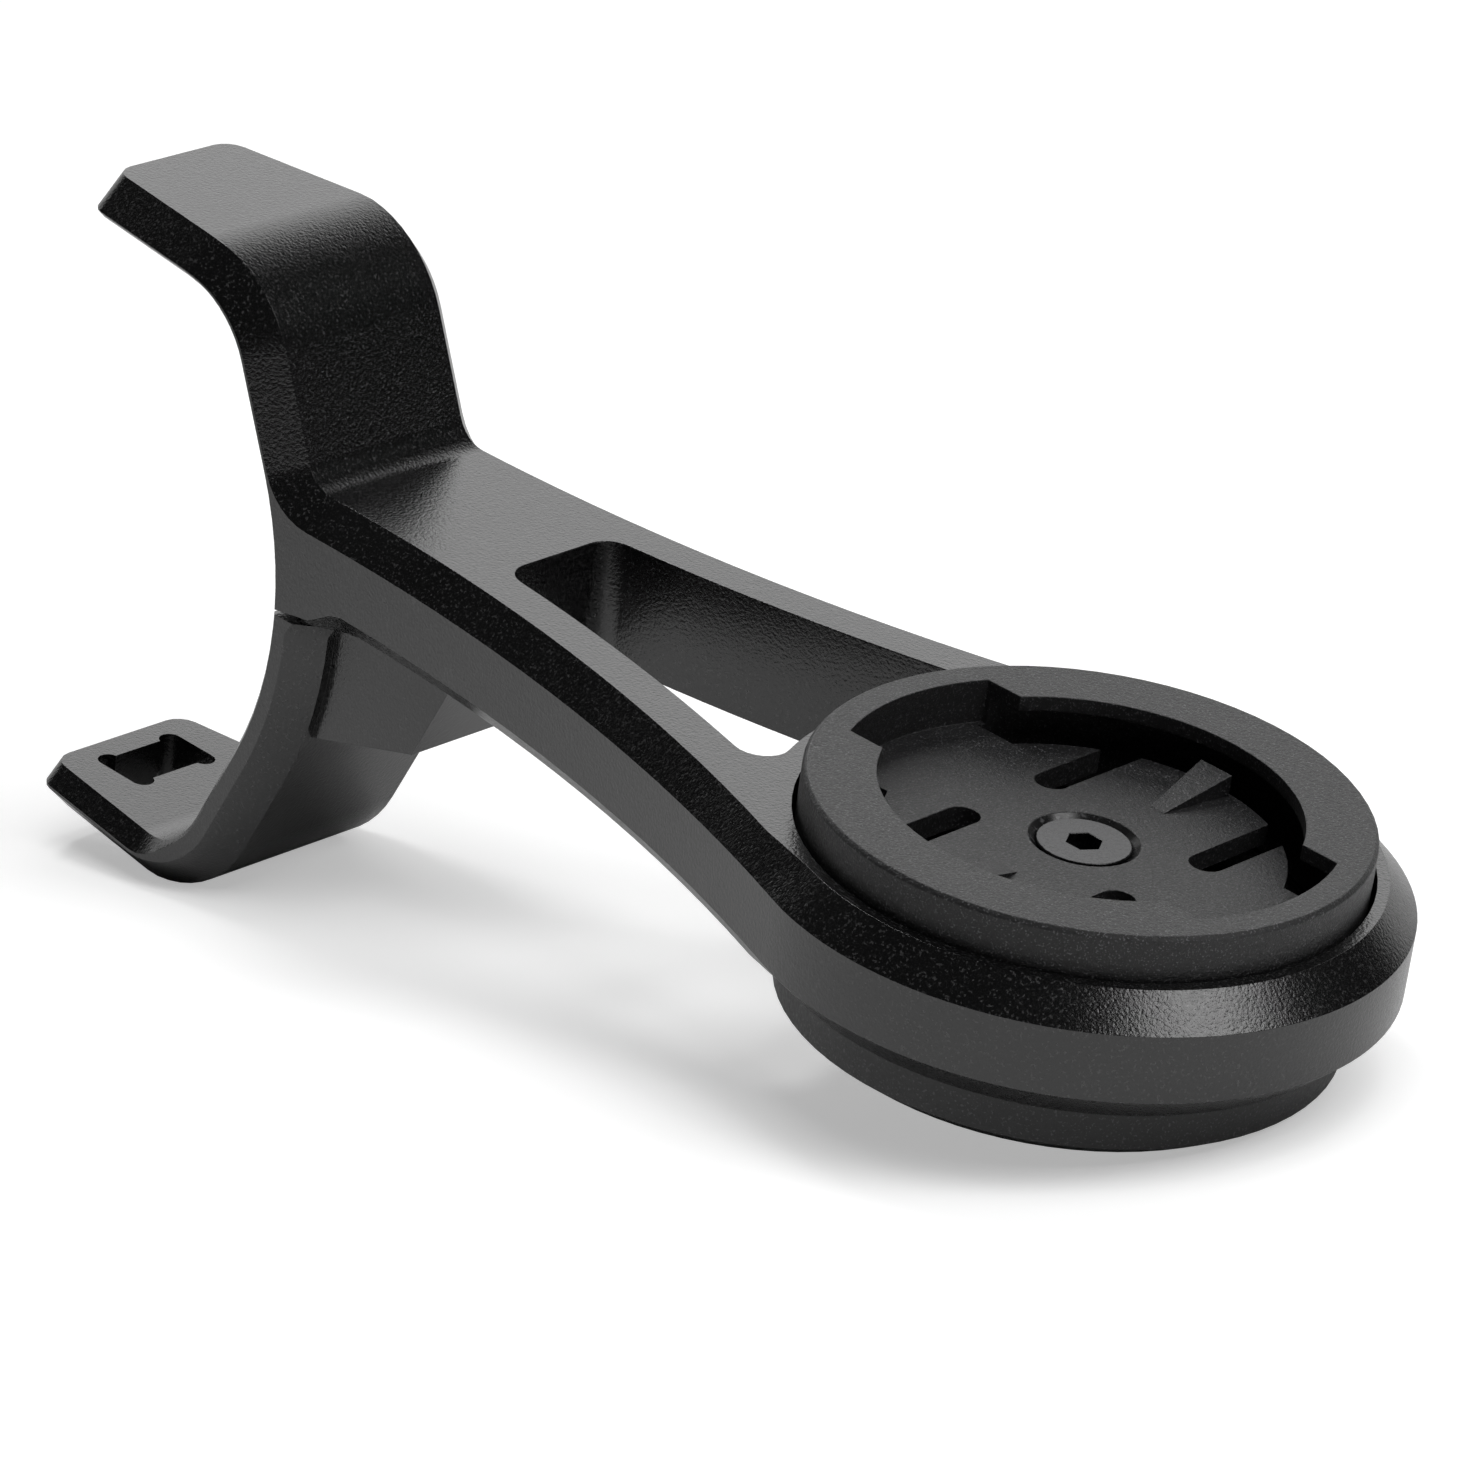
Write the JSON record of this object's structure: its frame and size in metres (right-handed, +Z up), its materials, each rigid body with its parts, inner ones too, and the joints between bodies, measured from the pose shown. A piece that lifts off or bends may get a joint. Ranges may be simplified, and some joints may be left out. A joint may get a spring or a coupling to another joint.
{
  "type": "cycling computer mount",
  "caption": "Out-front bicycle computer mount: black aluminium arm and lower clamp that hug a stem, with a quarter-turn plastic puck and springy detent tongues.",
  "frame": {"origin": "middle of the box on the ground, with the mount resting on the clamp's lower bend and the front of the cap", "axes": "+X from the stem towards the puck, +Y across the mount to its left, +Z up"},
  "size_m": [0.108, 0.0408, 0.0482],
  "materials": {
    "anodised_aluminium": "black anodised, bead blasted",
    "moulded_plastic": "fine moulded grain",
    "screw_steel": "blackened",
    "nut_steel": "zinc plated"
  },
  "bodies": {
    "arm": {"arm_bracket": "anodised_aluminium", "locating_pin_left": "screw_steel", "locating_pin_right": "screw_steel", "quarter_turn_puck": "moulded_plastic", "bottom_cap": "moulded_plastic", "centre_nut": "nut_steel"},
    "clamp": {"lower_clamp": "anodised_aluminium", "clamp_washer": "screw_steel"},
    "screw": {"clamp_screw": "screw_steel"},
    "tongue_left": {"detent_tongue_left": "moulded_plastic"},
    "tongue_right": {"detent_tongue_right": "moulded_plastic"},
    "middle_screw": {"centre_screw": "screw_steel"}
  },
  "joints": [
    {"name": "clamp_slide", "type": "slide", "parent": "arm", "child": "clamp", "axis": [-0.2351, 0, -0.972], "range_m": [0, 0.0035]},
    {"name": "clamp_screw_turn", "type": "hinge", "parent": "clamp", "child": "screw", "pos_m": [-0.02087, 0, 0.01665], "axis": [-0.2351, 0, -0.972], "range_deg": [0, 1800]},
    {"name": "tongue_left_flex", "type": "hinge", "parent": "arm", "child": "tongue_left", "pos_m": [0.03451, 0.0041, 0.01504], "axis": [-0.972, 0, 0.2351], "range_deg": [0, 6], "stiffness_Nm_per_rad": 0.5},
    {"name": "tongue_right_flex", "type": "hinge", "parent": "arm", "child": "tongue_right", "pos_m": [0.03451, -0.0041, 0.01504], "axis": [0.972, 0, -0.2351], "range_deg": [0, 6], "stiffness_Nm_per_rad": 0.5},
    {"name": "centre_screw_turn", "type": "hinge", "parent": "arm", "child": "middle_screw", "pos_m": [0.03463, 0, 0.01557], "axis": [0.2351, 0, 0.972], "continuous": true}
  ]
}
